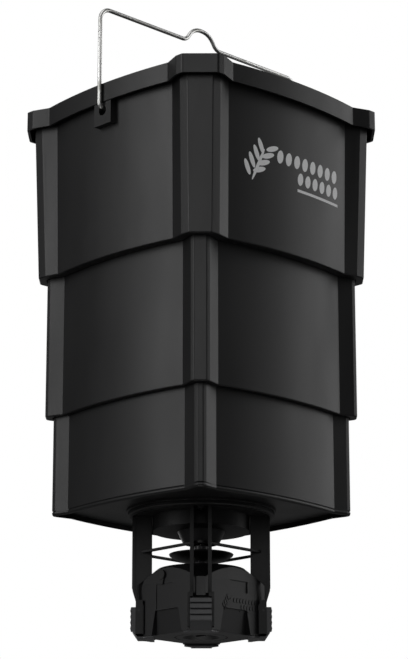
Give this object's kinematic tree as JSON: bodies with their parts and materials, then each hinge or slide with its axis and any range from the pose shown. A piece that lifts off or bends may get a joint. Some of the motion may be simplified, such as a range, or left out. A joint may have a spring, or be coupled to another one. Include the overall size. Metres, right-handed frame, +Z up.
{
  "type": "hanging spinner game feeder",
  "caption": "Hanging wildlife feeder: a nesting square hopper under a wire bail, with a funnel, motor-driven spinner plate and latched timer unit below.",
  "frame": {"origin": "inner top of the bail's hump, where a hook bears", "axes": "+Z up along the feeder's axis; the bail lies in the YZ plane and the hopper's panels face +/-X and +/-Y; the jack cap faces -Y"},
  "size_m": [0.319, 0.3306, 0.7323],
  "materials": {
    "bail_wire": "bright zinc-plated wire",
    "zinc_hardware": "zinc-plated",
    "black_hardware": "black oxide",
    "hopper_polymer": "fine satin moulded surface",
    "unit_polymer": "satin moulded surface",
    "latch_polymer": "satin moulded surface",
    "foam_seal": "closed-cell foam",
    "black_rubber": "moulded rubber",
    "motor_steel": "plated can",
    "shaft_steel": "ground steel",
    "battery_case": "moulded",
    "brass_tab": "plated tab",
    "circuit_board": "solder mask",
    "display_glass": "clear",
    "lead_insulation": "soft insulation"
  },
  "bodies": {
    "bail": {"bail": "bail_wire", "bail_retainers": "zinc_hardware"},
    "hopper": {"top_section": "hopper_polymer"},
    "lid": {"lid": "hopper_polymer", "lid_seal": "foam_seal"},
    "middle": {"middle_section": "hopper_polymer"},
    "base": {"bottom_section": "hopper_polymer", "feed_funnel": "unit_polymer", "leg_frame": "unit_polymer", "guard_ring": "unit_polymer", "flange_screws": "black_hardware", "flange_nuts": "zinc_hardware", "unit_roof": "unit_polymer", "unit_case": "unit_polymer", "bottom_cover": "unit_polymer", "motor": "motor_steel", "motor_screws": "zinc_hardware", "shaft_seal": "black_rubber", "battery_tray": "unit_polymer", "battery_pad": "foam_seal", "battery": "battery_case", "battery_terminals": "brass_tab", "timer_board": "circuit_board", "timer_display": "display_glass", "timer_fascia": "unit_polymer", "motor_leads": "lead_insulation", "battery_leads": "lead_insulation", "jack_socket": "unit_polymer", "latch_pins": "unit_polymer"},
    "spinner": {"motor_shaft": "shaft_steel", "spinner_hub": "unit_polymer", "spinner_plate": "unit_polymer", "set_screw": "zinc_hardware"},
    "knob": {"cover_knob": "unit_polymer"},
    "jack_cap": {"jack_cap": "black_rubber"},
    "back_right_latch": {"back_right_latch": "latch_polymer"},
    "back_left_latch": {"back_left_latch": "latch_polymer"},
    "front_left_latch": {"front_left_latch": "latch_polymer"},
    "front_right_latch": {"front_right_latch": "latch_polymer"},
    "mode_button": {"mode_button": "black_rubber"},
    "set_button": {"set_button": "black_rubber"},
    "test_button": {"test_button": "black_rubber"}
  },
  "joints": [
    {"name": "bail_pivot", "type": "hinge", "parent": "bail", "child": "hopper", "pos_m": [0, 0, -0.13685], "axis": [0, 1, 0], "range_deg": [-70, 70]},
    {"name": "lid_lift", "type": "slide", "parent": "hopper", "child": "lid", "axis": [0, 0, 1], "range_m": [0, 0.04]},
    {"name": "middle_nest", "type": "slide", "parent": "hopper", "child": "middle", "axis": [0, 0, 1], "range_m": [0, 0.16]},
    {"name": "base_nest", "type": "slide", "parent": "middle", "child": "base", "axis": [0, 0, 1], "range_m": [0, 0.11]},
    {"name": "spinner_turn", "type": "hinge", "parent": "base", "child": "spinner", "pos_m": [0, 0, -0.63562], "axis": [0, 0, 1], "continuous": true},
    {"name": "knob_turn", "type": "hinge", "parent": "base", "child": "knob", "pos_m": [0, 0, -0.72062], "axis": [0, 0, 1], "range_deg": [0, 90]},
    {"name": "jack_cap_flap", "type": "hinge", "parent": "base", "child": "jack_cap", "pos_m": [-0.0074, -0.0545, -0.67022], "axis": [1, 0, 0], "range_deg": [0, 140], "stiffness_Nm_per_rad": 0.002},
    {"name": "back_right_latch_pivot", "type": "hinge", "parent": "base", "child": "back_right_latch", "pos_m": [0.04907, 0.04907, -0.69662], "axis": [0.7071, -0.7071, 0], "range_deg": [0, 25], "stiffness_Nm_per_rad": 0.06, "springref_deg": -8.59},
    {"name": "back_left_latch_pivot", "type": "hinge", "parent": "base", "child": "back_left_latch", "pos_m": [-0.04907, 0.04907, -0.69662], "axis": [0.7071, 0.7071, 0], "range_deg": [0, 25], "stiffness_Nm_per_rad": 0.06, "springref_deg": -8.59},
    {"name": "front_left_latch_pivot", "type": "hinge", "parent": "base", "child": "front_left_latch", "pos_m": [-0.04907, -0.04907, -0.69662], "axis": [-0.7071, 0.7071, 0], "range_deg": [0, 25], "stiffness_Nm_per_rad": 0.06, "springref_deg": -8.59},
    {"name": "front_right_latch_pivot", "type": "hinge", "parent": "base", "child": "front_right_latch", "pos_m": [0.04907, -0.04907, -0.69662], "axis": [-0.7071, -0.7071, 0], "range_deg": [0, 25], "stiffness_Nm_per_rad": 0.06, "springref_deg": -8.59},
    {"name": "mode_button_press", "type": "slide", "parent": "base", "child": "mode_button", "axis": [0, 0, 1], "range_m": [0, 0.0012], "stiffness_N_per_m": 250, "springref_m": -0.0008},
    {"name": "set_button_press", "type": "slide", "parent": "base", "child": "set_button", "axis": [0, 0, 1], "range_m": [0, 0.0012], "stiffness_N_per_m": 250, "springref_m": -0.0008},
    {"name": "test_button_press", "type": "slide", "parent": "base", "child": "test_button", "axis": [0, 0, 1], "range_m": [0, 0.0012], "stiffness_N_per_m": 250, "springref_m": -0.0008}
  ]
}
